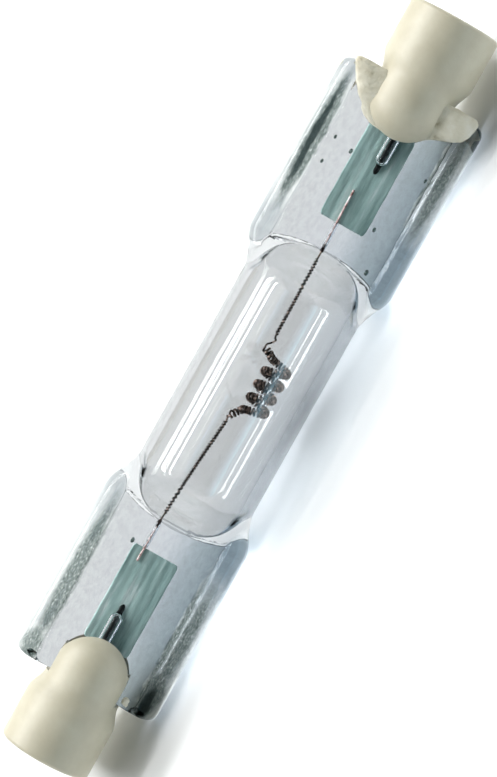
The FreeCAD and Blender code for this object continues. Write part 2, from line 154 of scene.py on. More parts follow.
def lofted(rings, hollow=False):
    """Points and faces of a closed skin over rings that have the same number of points. The
    faces of a hollow look inwards."""
    rings = np.asarray(rings, float)
    count, around = rings.shape[:2]
    points = list(rings.reshape(-1, 3))
    faces = []
    for i in range(count - 1):
        for k in range(around):
            a, b = i * around + k, i * around + (k + 1) % around
            faces.append((a, b, b + around, a + around))
    for ring, first in ((0, True), (count - 1, False)):
        middle = len(points)
        points.append(rings[ring].mean(axis=0))
        for k in range(around):
            a, b = ring * around + k, ring * around + (k + 1) % around
            faces.append((middle, b, a) if first else (middle, a, b))
    return np.array(points), flipped(faces) if hollow else faces


def joined(parts):
    """Several (points, faces) as one."""
    points, faces, start = [], [], 0
    for some_points, some_faces in parts:
        points.append(some_points)
        faces += [tuple(i + start for i in face) for face in some_faces]
        start += len(some_points)
    return np.concatenate(points), faces


def smooth_step(low, high, value):
    """0 up to low, 1 from high on and a smooth rise between them."""
    share = np.clip((np.asarray(value, float) - low) / (high - low), 0, 1)
    return share * share * (3 - 2 * share)


def soft_max(first, second, blend):
    """The larger of two, with the crease between them filled over about blend."""
    near = np.clip(blend - np.abs(first - second), 0, None) / blend
    return np.maximum(first, second) + near * near * blend / 4


def rounded(past, radius):
    """How far a round edge has fallen at a distance past its start."""
    share = min(1.0, max(0.0, past / radius))
    return radius * (1 - math.sqrt(1 - share * share))


def carried_rings(points, radius, sides):
    """Rings round a line, carried along it without twist. radius may differ from ring to ring."""
    points = np.asarray(points, float)
    ahead = np.gradient(points, axis=0)
    ahead /= np.linalg.norm(ahead, axis=1)[:, None]
    radius = np.broadcast_to(radius, len(points))
    turn = full_turn(sides)
    normal = np.array((0.0, 0.0, 1.0))
    rings = []
    for point, way, size in zip(points, ahead, radius):
        normal = normal - way * normal.dot(way)
        normal /= np.linalg.norm(normal)
        side = np.cross(way, normal)
        rings.append(point + size * (np.outer(np.cos(turn), normal) + np.outer(np.sin(turn), side)))
    return np.array(rings)


def wire(points, radius, sides):
    """Points and faces of a round wire along a line."""
    return lofted(carried_rings(points, radius, sides))


def smooth_line(corners, step):
    """Points about step apart on a smooth curve through corners."""
    corners = np.asarray(corners, float)
    before = np.vstack((2 * corners[0] - corners[1], corners[:-1]))
    after = np.vstack((corners[1:], 2 * corners[-1] - corners[-2]))
    slopes = (after - before) / 2
    points = []
    for i in range(len(corners) - 1):
        count = max(2, int(np.linalg.norm(corners[i + 1] - corners[i]) / step))
        for k in range(count):
            t = k / count
            points.append(
                (2 * t**3 - 3 * t**2 + 1) * corners[i] + (t**3 - 2 * t**2 + t) * slopes[i]
                + (3 * t**2 - 2 * t**3) * corners[i + 1] + (t**3 - t**2) * slopes[i + 1])
    points.append(corners[-1])
    return np.array(points)


def evenly(points, step):
    """The same line with its points evenly spaced by about step."""
    places = np.concatenate(((0,), np.cumsum(np.linalg.norm(np.diff(points, axis=0), axis=1))))
    wanted = np.linspace(0, places[-1], max(3, int(places[-1] / step) + 1))
    return np.stack([np.interp(wanted, places, points[:, axis]) for axis in range(3)], axis=1)


def spiral(line, radius, pitch, steps):
    """A wire's line wound round another line."""
    rings = carried_rings(evenly(line, pitch / steps), radius, steps)
    return np.array([ring[i % steps] for i, ring in enumerate(rings)])


def ellipsoid(middle, halves, count, around):
    """Rings of an ellipsoid that lies along the lamp."""
    turn = full_turn(around)
    rings = []
    for slope in np.linspace(0, math.pi, count)[1:-1]:
        rings.append(ring_at(
            middle[0] - halves[0] * math.cos(slope),
            middle[1] + halves[1] * math.sin(slope) * np.cos(turn),
            middle[2] + halves[2] * math.sin(slope) * np.sin(turn)))
    return rings


# Shaders


class Graph:
    """The nodes of the world or of a material. A call that adds nodes returns the last one's
    output."""

    def __init__(self, tree):
        self.tree = tree

    def link(self, output, socket):
        self.tree.links.new(output, socket)

    def add(self, kind, inputs, output=0, **settings):
        """One node. An input is given a value, another node's output, or a list of both, where
        the value is for a reader that knows no nodes. settings are the node's own, such as its
        operation."""
        node = self.tree.nodes.new(f"ShaderNode{kind}")
        for name, value in settings.items():
            setattr(node, name, value)
        for socket, given in inputs.items():
            for value in given if isinstance(given, list) else [given]:
                if isinstance(value, bpy.types.NodeSocket):
                    self.link(value, node.inputs[socket])
                else:
                    node.inputs[socket].default_value = value
        return node.outputs[output]

    def place(self):
        """The object's own coordinates, in metres."""
        return self.add("TexCoord", {}, "Object")

    def away(self, place):
        """How far a place lies from the middle, along the lamp."""
        along = self.add("SeparateXYZ", {"Vector": place}, "X")
        return self.add("Math", {0: along}, operation="ABSOLUTE")

    def across(self, place, low, high):
        """How far a place lies across the seals, from 0 at low to 1 at high."""
        towards = self.add("VectorMath", {0: place, 1: ACROSS}, "Value", operation="DOT_PRODUCT")
        return self.spread(towards, low, high)

    def spread(self, value, start, end, low=0.0, high=1.0, kind="LINEAR"):
        """A value from start to end, as one from low to high."""
        return self.add("MapRange", {
            "Value": value, "From Min": start, "From Max": end, "To Min": low, "To Max": high,
        }, interpolation_type=kind)

    def noise(self, scale, detail, stretch=(1, 1, 1), roughness=0.55, output="Fac"):
        """Noise over the object's own coordinates. scale is per metre."""
        stretched = self.add("Mapping", {"Vector": self.place(), "Scale": stretch})
        return self.add("TexNoise", {
            "Vector": stretched, "Scale": scale, "Detail": detail, "Roughness": roughness,
        }, output)

    def ramp(self, source, stops):
        """Colours over source; stops are (place, colour)."""
        colours = self.add("ValToRGB", {"Fac": source})
        elements = colours.node.color_ramp.elements
        while len(elements) < len(stops):
            elements.new(0.5)
        for element, (place, colour) in zip(elements, stops):
            element.position = place
            element.color = (*colour, 1)
        return colours

    def bump(self, height, distance, strength):
        return self.add("Bump", {"Height": height, "Distance": distance, "Strength": strength})

    def mixed(self, share, first, second):
        """Two colours mixed by share. The colours' sockets share their names with others, so
        they go by number."""
        return self.add("Mix", {"Factor": share, 6: first, 7: second}, 2, data_type="RGBA")


class Material(Graph):
    """A new material, finished by its surface."""

    def __init__(self, name):
        self.made = bpy.data.materials.new(name)
        self.made.use_nodes = True
        super().__init__(self.made.node_tree)
        self.tree.nodes.clear()

    def surface(self, shader):
        """Gives the material its shader and returns it."""
        output = self.tree.nodes.new("ShaderNodeOutputMaterial")
        self.link(shader, output.inputs["Surface"])
        return self.made

    def principled(self, inputs):
        """The material, with a principled shader."""
        return self.surface(self.add("BsdfPrincipled", inputs))


def tungsten_material():
    """The coil and the legs: dark, with bright spots painted in at random as glints."""
    material = Material("tungsten")
    return material.principled({
        "Metallic": 0.55, "Roughness": 0.34,
        # The brightest stop paints glints.
        "Base Color": material.ramp(material.noise(2600, 3.0), [
            (0.38, (0.025, 0.018, 0.015)), (0.54, (0.11, 0.08, 0.065)),
            (0.68, (0.75, 0.55, 0.47))])})


def winding_material():
    """The fine wire round the legs, much darker than the coil, with glints painted in as bright
    spots.
    """
    material = Material("winding")
    return material.principled({
        "Metallic": 0.8, "Roughness": 0.3,
        # The brightest stop paints glints.
        "Base Color": material.ramp(material.noise(3000, 3.0), [
            (0.45, (0.006, 0.005, 0.005)), (0.66, (0.02, 0.013, 0.012)),
            (0.8, (0.3, 0.17, 0.14))])})


def sealed_wire_material():
    """The stretch of a leg that is sealed in the glass: bare and pinkish."""
    material = Material("sealed_wire")
    return material.principled({
        "Metallic": 0.2, "Roughness": 0.4,
        "Base Color": material.ramp(material.noise(2400, 2.0), [
            (0.36, (0.35, 0.17, 0.15)), (0.5, (0.85, 0.62, 0.58)),
            (0.66, (0.95, 0.88, 0.86))])})


def foil_material():
    """Thin molybdenum foil: grey-green, with lengthwise streaks and creases."""
    material = Material("foil")
    streaks = material.noise(900, 5.0, (0.12, 1, 1), 0.65)
    return material.principled({
        "Metallic": 0.15,
        "Base Color": material.ramp(streaks, [
            (0.3, (0.13, 0.22, 0.205)), (0.45, (0.32, 0.49, 0.465)),
            (0.57, (0.46, 0.65, 0.62)), (0.7, (0.82, 0.93, 0.91))]),
        "Roughness": [0.42, material.spread(streaks, 0.0, 1.0, 0.35, 0.55)],
        "Normal": material.bump(streaks, 0.00006, 0.7)})


def lead_material():
    """The dark rods between the foils and the contacts."""
    material = Material("lead")
    return material.principled({
        "Metallic": 0.85, "Roughness": 0.35,
        "Base Color": material.ramp(material.noise(1400, 4.0, (0.3, 1, 1)), [
            (0.35, (0.006, 0.008, 0.008)), (0.6, (0.02, 0.024, 0.024)),
            (0.78, (0.1, 0.12, 0.12))])})


def ceramic_material():
    """Unglazed ivory steatite: fine grain, faint mottling, a satin surface."""
    material = Material("ceramic")
    grain = material.noise(5200, 3.0)
    return material.principled({
        "Specular IOR Level": 0.75,
        "Base Color": material.ramp(material.noise(330, 5.0), [
            (0.3, (0.51, 0.475, 0.36)), (0.5, (0.555, 0.52, 0.4)), (0.7, (0.6, 0.57, 0.45))]),
        "Roughness": [0.4, material.spread(grain, 0.0, 1.0, 0.34, 0.52)],
        "Normal": material.bump(grain, 0.00003, 0.35),
        "Subsurface Weight": 0.15,
        "Subsurface Radius": (0.0012, 0.001, 0.0008),
        "Subsurface Scale": 1.0})


def cement_material():
    """Dull sandy cement, off-white with warmer patches."""
    material = Material("cement")
    return material.principled({
        "Roughness": 0.85,
        "Base Color": material.ramp(material.noise(700, 6.0), [
            (0.26, (0.42, 0.37, 0.25)), (0.38, (0.66, 0.62, 0.49)),
            (0.56, (0.76, 0.725, 0.6)), (0.75, (0.84, 0.82, 0.73))]),
        "Normal": material.bump(material.noise(4200, 6.0), 0.00012, 0.7)})


def contact_material():
    """Bright nickel, finely scratched."""
    material = Material("contact")
    scratches = material.noise(3000, 4.0)
    return material.principled({
        "Metallic": 1.0,
        "Base Color": material.ramp(scratches, [
            (0.35, (0.5, 0.49, 0.47)), (0.65, (0.68, 0.67, 0.65))]),
        "Roughness": [0.24, material.spread(scratches, 0.0, 1.0, 0.18, 0.36)]})


# Quartz bulb: the outside
#
# The outside is a round tube that goes over into an oval in each shoulder. The oval flattens
# until the pressed seal, a slab with ridges along its edges, comes out of it.

SEAL_END = node_span("quartz_bulb")[1][0]
TUBE_RADIUS = 6.0
BORE = 4.85
WALL = TUBE_RADIUS - BORE
WEB = 1.4
SHOULDER_START = 9.7
SHOULDER_END = 15.3

SEAL_HALF_WIDTH = 7.4
SEAL_START_HALF_WIDTH = 5.75
SEAL_WIDENS = (9.6, 13.9)
SEAL_CORNER = 1.0
SEAL_END_ROUND = 0.35
EDGE_ROUND = 1.45
EDGE_POWER = 2.5
RIDGE_FOOT = 4.7

OVAL_SWELLS = (9.7, 12.8)
OVAL_SWELL = 0.8
OVAL_NARROWS = (12.7, 15.8)
OVAL_NARROWING = 2.1
OVAL_FLAT = 1.38
OVAL_SINKS = (SHOULDER_END - 0.4, SHOULDER_END + 1.6)
OVAL_SINKING = 1.2
SLAB_SHAPED = 12.6
SHOULDER_BLEND = 0.26
PRESSED_MARGIN = 0.45


def seal_half_width(away):
    """Half width of the pressed seal, away from the middle of the lamp."""
    widened = smooth_step(*SEAL_WIDENS, away)
    half_width = SEAL_START_HALF_WIDTH + (SEAL_HALF_WIDTH - SEAL_START_HALF_WIDTH) * widened
    return half_width - rounded(away - SEAL_END + SEAL_CORNER, SEAL_CORNER)


def profile(slopes):
    """Heights, over the distance across, of a flank given by its slopes."""
    places, step = np.linspace(0, 1.2, 121, retstep=True)
    steep = np.interp(places, *zip(*slopes))
    return places, np.concatenate(((0,), np.cumsum((steep[1:] + steep[:-1]) / 2 * step)))


FLANK_START = 2.25
BACK_FLANK = profile([(0, 0), (0.3, 0.8), (0.6, 0.8), (1.05, 0)])
FLANKS = {
    # face, hand across; then the distance from the flank's start and the slope there
    (1, 1): profile([(0, 0), (0.04, -0.86), (0.16, -0.86), (0.24, 0.7), (0.75, 0.95), (1.15, 0)]),
    (1, -1): profile([(0, 0), (0.1, 1.2), (0.42, 1.15), (0.5, 0.3), (1.1, 0)]),
    (-1, 1): BACK_FLANK,
    (-1, -1): BACK_FLANK,
}

GROOVES = (
    # side of lamp, face, first x, last x, middle y, half width, depth
    (1, 1, 15.6, 30.3, 6.25, 0.5, 0.14),
    (1, 1, 17.6, 29.4, -6.0, 0.5, 0.16),
    (-1, 1, 14.5, 31.0, 6.3, 0.5, 0.14),
    (-1, 1, 19.0, 31.0, -5.9, 0.6, 0.16),
    (1, -1, 14.5, 30.0, 6.3, 0.5, 0.16),
    (-1, -1, 14.5, 30.0, -6.2, 0.5, 0.16),
)


def ridge_groove(x, y, face):
    """Depth of the lens-shaped hollows that the press left along the ridges."""
    depth = np.zeros(len(y))
    for side, its_face, first, last, middle, half, deep in GROOVES:
        share = (abs(x) - first) / (last - first)
        if np.sign(x) == side and its_face == face and 0 < share < 1:
            depth += deep * math.sin(math.pi * share) ** 0.5 * np.exp(-((y - middle) / half) ** 2)
    return depth


def seal_height(x, y, face):
    """Height of the seal's front or back face over its middle plane, at each y. The flanks of
    the ridges wander and differ in steepness a little, as glass that was pressed by hand."""
    away, across = abs(x), np.abs(y)
    half_width = seal_half_width(away)
    height = np.full(len(y), WEB)
    for hand in (1, -1):
        here = y * hand > 0
        start = FLANK_START + 0.1 * noise.noise((x * 0.5, hand * 3.1, face * 5.3))
        steep = 1 + 0.1 * noise.noise((x * 1.1, hand * 7.7, face * 2.3))
        places, rise = FLANKS[face, hand]
        height[here] += steep * np.interp(across[here] - half_width + start, places, rise)
    reach = np.clip((across - half_width + EDGE_ROUND) / EDGE_ROUND, 0, 1)
    height = height * (1 - reach**EDGE_POWER) ** (1 / EDGE_POWER)
    height -= ridge_groove(x, y, face)
    height -= rounded(away - SEAL_END + SEAL_END_ROUND, SEAL_END_ROUND) * np.clip(height, 0, 1)
    return np.clip(height, 0, None)


def oval_height(away):
    """Half height of the oval, away from the middle of the lamp."""
    height = TUBE_RADIUS - (TUBE_RADIUS - OVAL_FLAT) * smooth_step(
        SHOULDER_START, SHOULDER_END, away)
    return height - OVAL_SINKING * smooth_step(*OVAL_SINKS, away)


TIP_X = 0.4
TIP_LEAN = math.radians(8)
TIP_ROOT = 3.0
TIP_REACH = 8.1
TIP_HEIGHT = TIP_REACH - TUBE_RADIUS
TIP_NOSE = 0.75


def tip_rise(x, angle, radius):
    """How far the exhaust tip lifts the wall outwards: a concave cone with a round nose. The
    distance from its axis grows with the rise, so the two are settled in a few rounds."""
    middle = -math.pi / 2 - TIP_LEAN
    turn = np.mod(angle - middle + math.pi, 2 * math.pi) - math.pi
    rise = np.zeros(len(angle))
    for _ in range(8):
        away = np.hypot(x - TIP_X, (radius + rise) * turn)
        cone = TIP_HEIGHT * np.clip(1 - away / TIP_ROOT, 0, 1) ** 1.5
        nose = TIP_HEIGHT - TIP_NOSE + np.sqrt(np.clip(TIP_NOSE**2 - away**2, 0, None))
        rise = np.where(away < TIP_NOSE, np.minimum(nose, TIP_HEIGHT), cone)
    return rise


def quarter_places():
    """Places across a quarter of a seal, from its thin edge to its middle, close together at
    the edge and on the ridge's flank."""
    edge = SEAL_HALF_WIDTH - EDGE_ROUND + EDGE_ROUND * np.sin(np.linspace(1.5, 0.35, 17)) ** 0.8
    top = np.linspace(edge[-1] - 0.08, 5.96, 7)
    flank = np.linspace(5.9, 4.95, 26)
    web = np.linspace(4.75, 0.35, 13)
    return np.concatenate((edge, top, flank, web))


QUARTER = quarter_places()
FRONT_EDGE = np.concatenate(((SEAL_HALF_WIDTH,), QUARTER, (0,), -QUARTER[::-1]))
ACROSS_SEAL = np.concatenate((FRONT_EDGE, -FRONT_EDGE))
AROUND = len(ACROSS_SEAL)
TURNS = full_turn(AROUND)


def outside_ring(x):
    """A ring of the outside at x, and where on it the pressed seal shows."""
    away = abs(x)
    if away < SHOULDER_START:
        radii = TUBE_RADIUS + tip_rise(x, TURNS, TUBE_RADIUS)
        return ring_at(x, radii * np.cos(TURNS), radii * np.sin(TURNS)), np.zeros(AROUND, bool)
    oval_half = TUBE_RADIUS + OVAL_SWELL * smooth_step(*OVAL_SWELLS, away)
    oval_half -= OVAL_NARROWING * smooth_step(*OVAL_NARROWS, away)
    reach = max(oval_half, seal_half_width(away))
    lost = SEAL_HALF_WIDTH - reach
    size = np.abs(ACROSS_SEAL)
    across = np.sign(ACROSS_SEAL) * np.where(
        size > RIDGE_FOOT, size - lost, size * (RIDGE_FOOT - lost) / RIDGE_FOOT)
    shaped = smooth_step(SHOULDER_START, SLAB_SHAPED, away)
    y = (1 - shaped) * reach * np.cos(TURNS) + shaped * across
    face = np.where(TURNS < math.pi, 1, -1)
    oval = oval_height(away) * np.sqrt(np.clip(1 - (y / oval_half) ** 2, 0, None))
    slab = np.where(face > 0, seal_height(x, y, 1), seal_height(x, y, -1))
    slab[np.abs(y) > seal_half_width(away)] = 0
    height = soft_max(oval, slab, SHOULDER_BLEND)
    height[[0, AROUND // 2]] = 0
    return ring_at(x, y, face * height), slab > oval - PRESSED_MARGIN


def spaced(*stops):
    """Places along X; each stop is (end, step)."""
    places = [stops[0][0]]
    for (start, _), (end, step) in zip(stops, stops[1:]):
        count = max(1, round((end - start) / step))
        places += [start + (end - start) * (i + 1) / count for i in range(count)]
    return places


def both_ways(middle, half):
    """Places from end to end, from those of the middle and of one half."""
    return [-x for x in half[::-1]] + middle + half


TUBE_FACE, FRONT_FACE, BACK_FACE, BUBBLE_FACE, CHANNEL_FACE, INSIDE_FACE = range(6)


def quartz_outside():
    """Points and faces of the outside, and the material of each face."""
    places = both_ways(
        spaced((-3.4, 0), (-2.4, 0.25), (3.4, 0.15)),
        spaced((3.6, 0), (9.6, 0.9), (16.2, 0.15), (30.2, 0.35), (SEAL_END - 0.02, 0.09),
               (SEAL_END, 0.02)))
    rings, pressed = zip(*(outside_ring(x) for x in places))
    points, faces = lofted(rings)
    which = []
    for before, after in zip(pressed, pressed[1:]):
        for k in range(AROUND):
            face = FRONT_FACE if k < AROUND // 2 else BACK_FACE
            which.append(face if before[k] and after[k] else TUBE_FACE)
    ends = len(faces) - len(which)
    return (points, faces), which + [FRONT_FACE] * ends


# Quartz bulb: the hollow, and what the glass leaves free round the metal in it

HOLLOW_END = 14.55
HOLLOW_NARROWS = 10.2
HOLLOW_CLOSES = 13.0
HOLLOW_AROUND = 144


def cavity_ring(x):
    """A ring of the hollow at x: it follows the tube and closes to a flat wedge."""
    away = abs(x)
    turn = full_turn(HOLLOW_AROUND)
    step = 0.01
    fall = (oval_height(away + step) - oval_height(away - step)) / (2 * step)
    tall = oval_height(away) - WALL * math.hypot(1, fall)
    closed = max(0.0, (away - HOLLOW_CLOSES) / (HOLLOW_END - HOLLOW_CLOSES))
    tall *= math.sqrt(max(0.0, 1 - closed**2))
    narrowed = max(0.0, (away - HOLLOW_NARROWS) / (HOLLOW_END - HOLLOW_NARROWS))
    wide = BORE * math.sqrt(max(0.0, 1 - narrowed**2.3))
    dimple = 0.55 * tip_rise(x, turn, BORE) if away < TIP_ROOT else np.zeros(len(turn))
    grown = 1 + dimple / BORE
    return ring_at(x, wide * np.cos(turn) * grown, tall * np.sin(turn) * grown)


def quartz_cavity():
    """The hollow inside the tube."""
    places = both_ways(
        spaced((-3.0, 0), (3.0, 0.2)),
        spaced((3.2, 0), (9.5, 0.9), (14.1, 0.15), (HOLLOW_END - 0.01, 0.05)))
    return lofted([cavity_ring(x) for x in places], hollow=True)


LEAD_RADIUS = 0.43
LEAD_CHANNEL = 0.65
LEAD_BARE = 0.9
LEAD_CHANNEL_ROUND = 0.5


def lead_line(side):
    """Where an outer lead's axis runs: lowest x, highest x, y and z."""
    low, high = node_span(f"outer_lead_{side}")
    return low[0], high[0], (low[1] + high[1]) / 2, high[2] - LEAD_RADIUS


def lead_channel(side):
    """The narrow empty channel that the glass leaves round each outer lead."""
    low, high, y, z = lead_line(side)
    start, end = low + LEAD_BARE, SEAL_END - 0.06
    if side == "left":
        start, end = high - LEAD_BARE, -end
    places = np.linspace(start, end, 60)
    radius = LEAD_CHANNEL * np.sqrt(np.clip(np.abs(places - start) / LEAD_CHANNEL_ROUND, 0.02, 1))
    line = [(x, y, z) for x in places]
    return lofted(carried_rings(line, radius, 32), hollow=True)


LEG_HEIGHT = 0.13
LEFT_LEG = ((-18.9, 1.3, LEG_HEIGHT), (-13.6, 1.2, LEG_HEIGHT), (-8.5, 0.86, 0.06), (-3.5, 0.46, 0))
RIGHT_LEG = ((5.75, 0.3, 0), (10, 0.35, 0.06), (14.2, 0.4, LEG_HEIGHT), (20.9, 0.55, LEG_HEIGHT))
LEGS = {"left": LEFT_LEG, "right": RIGHT_LEG}
LEG_CHANNEL = 0.24
LEG_CHANNEL_END = 17.45


def leg_channel(side):
    """The thin empty sleeve that the glass leaves round a leg, from the hollow to the foil."""
    line = smooth_line(LEGS[side], 0.1)
    away = np.abs(line[:, 0])
    inside = line[(away > HOLLOW_END + 0.1) & (away < LEG_CHANNEL_END)]
    return lofted(carried_rings(inside, LEG_CHANNEL, 16), hollow=True)


BUBBLES = (
    # x, y, z, radius
    (23.87, 2.55, 0.5, 0.17), (24.14, 5.37, 0.6, 0.15), (18.6, -2.87, 0.4, 0.16),
    (14.8, -4.17, 0.3, 0.2), (24.8, -4.8, 0.5, 0.14), (-17.4, 2.6, 0.3, 0.18),
    (21.8, 4.45, 0.5, 0.14), (24.33, 4.45, 0.5, 0.13),
)


def bubble(x, y, z, radius):
    """A bubble that the press drew out lengthwise."""
    rings = ellipsoid((x, y, z), (1.6 * radius, radius, radius), 9, 14)
    return lofted(rings, hollow=True)


# Quartz bulb: materials

QUARTZ_INDEX = 1.46
SHOULDER_INDEX = 1.17
SHOULDER_EASED = (9.0 * MM, 11.0 * MM)
# Painted shade: the grey that the seals lose here stands in for their shadow on the floor and the
# dark surroundings they reflect, deepest over the -Y ridge; the paler rims are a painted highlight.
SEAL_SHADE_TINT = (
    # place from the -Y edge of a seal to its +Y edge, and what is lost there
    (0.0, (0.93, 0.97, 1.0)), (0.012, (0.88, 0.93, 0.98)), (0.026, (0.56, 0.62, 0.66)),
    (0.16, (0.525, 0.575, 0.6)), (0.3, (0.585, 0.625, 0.65)), (0.45, (0.7, 0.72, 0.745)),
    (0.56, (0.725, 0.735, 0.755)), (0.84, (0.735, 0.745, 0.755)), (0.974, (0.66, 0.69, 0.705)),
    (0.988, (0.88, 0.92, 0.95)), (1.0, (0.93, 0.97, 1.0)),
)
CLOUDY = 0.93
# Painted shade: the ridges reflect the dark surroundings in these bands.
RIDGE_SHADE_BANDS = (
    # middle of a painted shade band along the ridges: x, y, then half length, half width and
    # softness
    (23.3, 6.12, 8.2, 0.85, 0.3), (24.6, -5.1, 5.5, 0.22, 0.5), (24.4, -6.2, 6.6, 0.8, 0.5),
    (-22.6, 5.85, 9.8, 1.0, 0.4), (-22.5, 5.45, 8.0, 0.24, 0.5), (-22.8, -5.2, 8.0, 0.4, 0.5),
    (-23.4, -6.2, 7.6, 0.9, 0.5), (-29.0, -5.9, 2.9, 1.2, 0.3), (-30.3, 6.1, 2.4, 1.1, 0.4),
)
# Colours of the painted shade in those bands.
RIDGE_SHADE_COLOURS = ((0.34, (0.4, 0.44, 0.43)), (0.48, (0.5, 0.54, 0.53)), (0.6, (0.6, 0.63, 0.62)),
         (0.72, (0.85, 0.86, 0.86)))
DEEP_SHADE_MARKS = (
    # the same for the darkest painted shade, in the bottom of a groove and at one seal's end
    (23.6, 6.25, 6.9, 0.4, 0.4), (-29.9, -5.9, 2.3, 0.6, 0.4),
)
# Colours of that darkest painted shade.
DEEP_SHADE_COLOURS = ((0.4, (0.2, 0.235, 0.235)), (0.7, (0.29, 0.33, 0.33)))
RAGGED = (0.0014, 0.0006, 0.0006)
MARK_DEPTH = 8


def mark_mask(material, place, x, y, long, half, soft):
    """1 within a mark of painted shade on the seals, an ellipse that fades to 0 at its edge."""
    local = material.add("Mapping", {
        "Vector": place, "Location": world([(x, y, 0)])[0], "Rotation": LAMP.to_euler(),
        "Scale": (long * MM, half * MM, MARK_DEPTH * MM)}, vector_type="TEXTURE")
    away = material.add("VectorMath", {0: local}, "Value", operation="LENGTH")
    return material.spread(away, 1.0, 1.0 - soft)


def joint_mask(material, place, marks):
    """1 within any of the marks."""
    joint, *others = [mark_mask(material, place, *mark) for mark in marks]
    for mask in others:
        joint = material.add("Math", {0: joint, 1: mask}, operation="MAXIMUM")
    return joint


def dimmed(stops, power, share=1):
    """A ramp's stops with a share of each colour, taken to a power."""
    return [(place, tuple((share * part) ** power for part in colour)) for place, colour in stops]


def painted_seal_shade(material, power, marks):
    """The grey of the pressed seals, painted shade for their shadow below them and the dark they
    reflect: paler at their rims as a painted highlight, and darker in ragged bands of painted
    shade on the ridges. power and marks say how much of it, and of the bands, a face has."""
    place = material.place()
    across = material.across(place, -SEAL_HALF_WIDTH * MM, SEAL_HALF_WIDTH * MM)
    mottle = material.spread(material.noise(2300, 5.0, (0.6, 1, 1), 0.7), 0.42, 0.66)
    web = material.mixed(
        mottle, material.ramp(across, dimmed(SEAL_SHADE_TINT, power)),
        material.ramp(across, dimmed(SEAL_SHADE_TINT, power, CLOUDY)))
    uneven = material.noise(2200, 4.0, (0.35, 1, 1), 0.5, "Color")
    shifted = material.add("VectorMath", {0: place, 1: tuple(-part / 2 for part in RAGGED)})
    ragged = material.add(
        "VectorMath", {0: uneven, 1: RAGGED, 2: shifted}, operation="MULTIPLY_ADD")
    specks = material.noise(7000, 4.0, (0.45, 1, 1))
    # The ridge bands and the darkest marks, both painted shade.
    for where, stops in ((RIDGE_SHADE_BANDS, RIDGE_SHADE_COLOURS), (DEEP_SHADE_MARKS, DEEP_SHADE_COLOURS)):
        marked = material.ramp(specks, dimmed(stops, marks))
        web = material.mixed(joint_mask(material, ragged, where), web, marked)
    return web


def eased_index(material):
    """Weaker refraction in the thick glass of the shoulders, where the full one would show
    nothing but the dark of the surroundings."""
    away = material.away(material.place())
    return material.spread(away, *SHOULDER_EASED, QUARTZ_INDEX, SHOULDER_INDEX, "SMOOTHSTEP")


def quartz_material(name, tint, shade, wave, pressed=None, eased=False, gloss=0):
    """Clear quartz, faintly wavy lengthwise. tint is lost at each face that light crosses, and
    shade at each face that it crosses on its way to what lies behind or is sealed in it.
    pressed gives the seals' painted shade instead of tint, and gloss is what a face reflects
    beyond plain quartz."""
    material = Material(name)
    waves = material.noise(300, 2.0, (0.14, 1, 1))
    colour, index = [(*tint, 1)], [QUARTZ_INDEX]
    if pressed:
        colour.append(painted_seal_shade(material, *pressed))
    if eased:
        index.append(eased_index(material))
    body = material.add("BsdfGlass", {
        "Color": colour, "Roughness": 0.0, "IOR": index,
        "Normal": material.bump(waves, 0.00012, wave)})
    if gloss:
        shine = material.add("BsdfGlossy", {"Roughness": 0.0})
        body = material.add("MixShader", {"Fac": gloss, 1: body, 2: shine})
    clear = material.add("BsdfTransparent", {"Color": (*shade, 1)})
    shadow = material.add("LightPath", {}, "Is Shadow Ray")
    return material.surface(material.add("MixShader", {"Fac": shadow, 1: body, 2: clear}))


def quartz_materials():
    """The materials of the glass, in the order of the numbers of its faces."""
    clear = (0.72, 0.74, 0.755)
    return [
        quartz_material("quartz", (0.812, 0.818, 0.824), clear, 0.25, eased=True),
        quartz_material(
            "quartz_front", (0.9, 0.9, 0.91), (0.92, 0.935, 0.95), 0.3, pressed=(0.35, 1.75)),
        quartz_material(
            "quartz_back", (0.6, 0.61, 0.63), (0.78, 0.8, 0.825), 0.3, pressed=(1.65, 0.35)),
        quartz_material("quartz_bubble", (0.4, 0.46, 0.44), (0.8, 0.8, 0.8), 0.1),
        quartz_material("quartz_channel", (0.865, 0.88, 0.893), (0.86, 0.88, 0.9), 0.2),
        quartz_material(
            "quartz_inside", (0.9, 0.904, 0.908), clear, 0.25, eased=True, gloss=0.12),
    ]


def make_quartz():
    """The glass, as one skin with the skins of its hollows inside."""
    outside, which = quartz_outside()
    hollows = [(INSIDE_FACE, quartz_cavity())]
    for side, _ in SIDES:
        hollows += [(CHANNEL_FACE, lead_channel(side)), (CHANNEL_FACE, leg_channel(side))]
    hollows += [(BUBBLE_FACE, bubble(*values)) for values in BUBBLES]
    for number, (_, faces) in hollows:
        which += [number] * len(faces)
    shape = joined([outside] + [hollow for _, hollow in hollows])
    new_piece("quartz_glass", shape, quartz_materials(), ["quartz_bulb"], which)


# Filament, its leg spirals, foils and leads

WIRE = 0.09
STRAND = 0.3
STRAND_PITCH = 0.37
STRAND_THICKER = 0.022
COIL_RADIUS = 1.05
COIL_PITCH = 1.374
COIL_TURNS = 4
COIL_START = -1.83
COIL_DROP = 1.4
FALL = ((-2.85, 0.42, 0.0), (-2.4, 0.05, -0.3), (-1.95, -0.3, -0.35))
RISE = ((3.95, 0.05, 0.25), (4.2, 0.6, 0.12))
LEFT_JOIN = ((-3.08, 0.62, 0.05),)
RIGHT_JOIN = ((4.55, 0.62, 0.1), (4.87, 0.3, 0.05), (5.35, 0.08, 0))
BEADS_START = HOLLOW_END + 0.8
BEADS = 0.035


